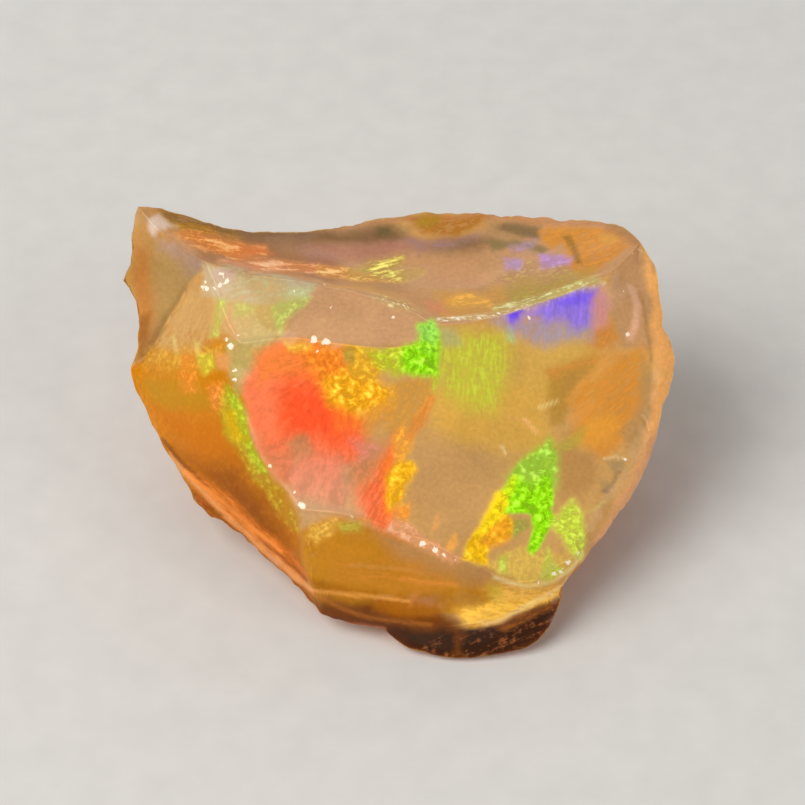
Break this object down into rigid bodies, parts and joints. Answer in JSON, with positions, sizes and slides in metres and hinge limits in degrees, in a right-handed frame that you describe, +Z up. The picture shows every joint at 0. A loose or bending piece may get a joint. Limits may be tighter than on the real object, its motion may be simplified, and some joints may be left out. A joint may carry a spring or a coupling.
{
  "type": "rough fire opal",
  "caption": "Uncut lump of amber precious opal, broken all round by shell-like fractures, with a scooped top, a sloping front face and a flat underside to rest on.",
  "frame": {"origin": "centre of the stone's box, on the flat that it rests on", "axes": "+X along the stone's length, with the tall pointed horn at -X; +Y away from the sloping front face; +Z up"},
  "size_m": [0.0204, 0.0152, 0.0106],
  "materials": {
    "precious_opal": "glossy, translucent"
  },
  "bodies": {
    "root": {"rough_fire_opal": "precious_opal"}
  },
  "joints": []
}
